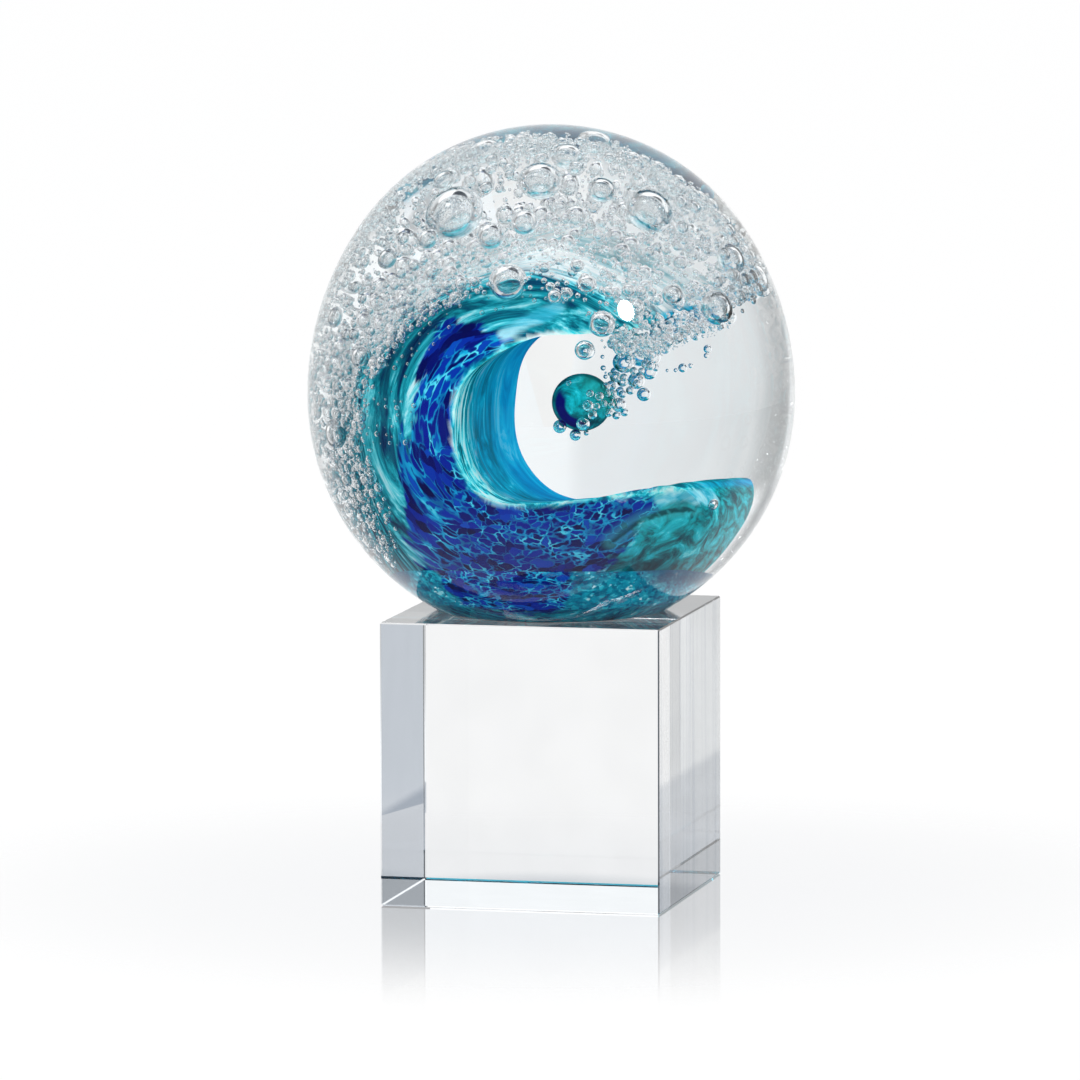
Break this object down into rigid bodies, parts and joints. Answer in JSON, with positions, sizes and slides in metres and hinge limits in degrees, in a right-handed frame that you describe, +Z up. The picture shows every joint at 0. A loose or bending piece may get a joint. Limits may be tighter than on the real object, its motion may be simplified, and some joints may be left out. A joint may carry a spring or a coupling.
{
  "type": "glass wave sculpture",
  "caption": "Clear glass globe with a curling ocean wave and its foam inside, bonded on top of a polished crystal cube; a heavy ornament that stands on any flat surface.",
  "frame": {"origin": "centre of the cube's underside, on the surface that it stands on", "axes": "+Z up; -Y towards the front, where the wave's open barrel faces; +X to the right as seen from the front, the way the crest curls"},
  "size_m": [0.103, 0.103, 0.1627],
  "materials": {
    "crystal": "polished optical crystal",
    "clear_bond": "clear cured adhesive",
    "clear_casing": "fire polished clear glass",
    "reef_blue_glass": "mottled blue and teal colour glass",
    "cobalt_glass": "mottled cobalt colour glass with teal veins",
    "teal_glass": "streaked teal colour glass",
    "turquoise_glass": "translucent turquoise colour glass",
    "foam_glass": "clear glass full of fine bubbles"
  },
  "bodies": {
    "root": {"crystal_cube": "crystal", "bond_film": "clear_bond", "globe_casing": "clear_casing", "foot_pad": "reef_blue_glass", "cobalt_sweep": "cobalt_glass", "crest_lip": "teal_glass", "wave_wall": "teal_glass", "swell_lobe": "turquoise_glass", "sea_bed": "turquoise_glass", "foam_cap": "foam_glass", "spray_tail": "foam_glass", "curl_ball": "teal_glass"}
  },
  "joints": []
}
